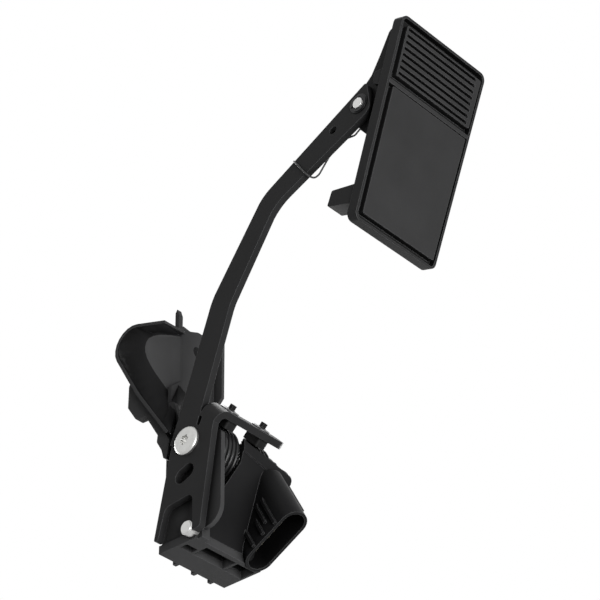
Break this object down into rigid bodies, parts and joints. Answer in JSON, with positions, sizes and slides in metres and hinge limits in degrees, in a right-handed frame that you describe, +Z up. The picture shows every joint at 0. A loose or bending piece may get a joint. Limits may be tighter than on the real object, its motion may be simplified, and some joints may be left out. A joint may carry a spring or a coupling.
{
  "type": "accelerator pedal with position sensor",
  "caption": "Hanging accelerator pedal: a bent steel arm with a ribbed rubber pad, sprung on a pivot in a moulded bracket that also carries a rotary position sensor and its plug socket.",
  "frame": {"origin": "centre of the mounting hole on the rear seat face of the bracket's boss", "axes": "+Y out of the back of the bracket into the bulkhead, -Y to the driver, +Z up the bracket, +X along the pivot axle from the arm to the sensor"},
  "size_m": [0.0701, 0.203, 0.2525],
  "materials": {
    "e_coated_steel": "satin black e-coat",
    "zinc_steel": "zinc-plated",
    "turned_steel": "turned",
    "spring_steel": "drawn wire",
    "bracket_plastic": "moulded, glass-filled",
    "sensor_plastic": "moulded, fine grain",
    "shoe_plastic": "moulded",
    "bush_plastic": "moulded, plain bearing grade",
    "pad_plastic": "moulded, fine grain",
    "tread_rubber": "matte",
    "gasket_rubber": "matte",
    "board": "lacquered",
    "terminal_brass": "tinned",
    "magnet": "sintered"
  },
  "bodies": {
    "bracket": {"mounting_bracket": "bracket_plastic", "left_pivot_bush": "bush_plastic", "right_pivot_bush": "bush_plastic", "stop_pin": "zinc_steel", "sensor_housing": "sensor_plastic", "sensor_cover": "sensor_plastic", "cover_gasket": "gasket_rubber", "circuit_board": "board", "connector_terminals": "terminal_brass", "cover_screws": "zinc_steel", "short_return_spring": "spring_steel", "long_return_spring": "spring_steel"},
    "lever": {"pedal_arm": "e_coated_steel", "pivot_shaft": "turned_steel", "pivot_bolt": "zinc_steel", "thrust_washer": "bush_plastic", "sensor_rotor": "bush_plastic", "rotor_magnet": "magnet", "left_spring_shoe": "shoe_plastic", "right_spring_shoe": "shoe_plastic", "left_shoe_retainer": "zinc_steel", "right_shoe_retainer": "zinc_steel"},
    "pad": {"pad_carrier": "pad_plastic", "pad_tread": "tread_rubber", "pad_pin": "zinc_steel", "pad_washer": "zinc_steel", "pad_retaining_clip": "zinc_steel", "pad_spring": "spring_steel"}
  },
  "joints": [
    {"name": "lever_pivot", "type": "hinge", "parent": "bracket", "child": "lever", "pos_m": [-0.027, -0.0256, -0.0755], "axis": [-1, 0, 0], "range_deg": [0, 17], "stiffness_Nm_per_rad": 3, "springref_deg": -51.57, "deforming": ["short_return_spring", "long_return_spring"]},
    {"name": "pad_pivot", "type": "hinge", "parent": "lever", "child": "pad", "pos_m": [-0.027, -0.14282, 0.0776], "axis": [1, 0, 0], "range_deg": [0, 25], "stiffness_Nm_per_rad": 0.06, "springref_deg": -68.75, "deforming": ["pad_spring"]}
  ]
}
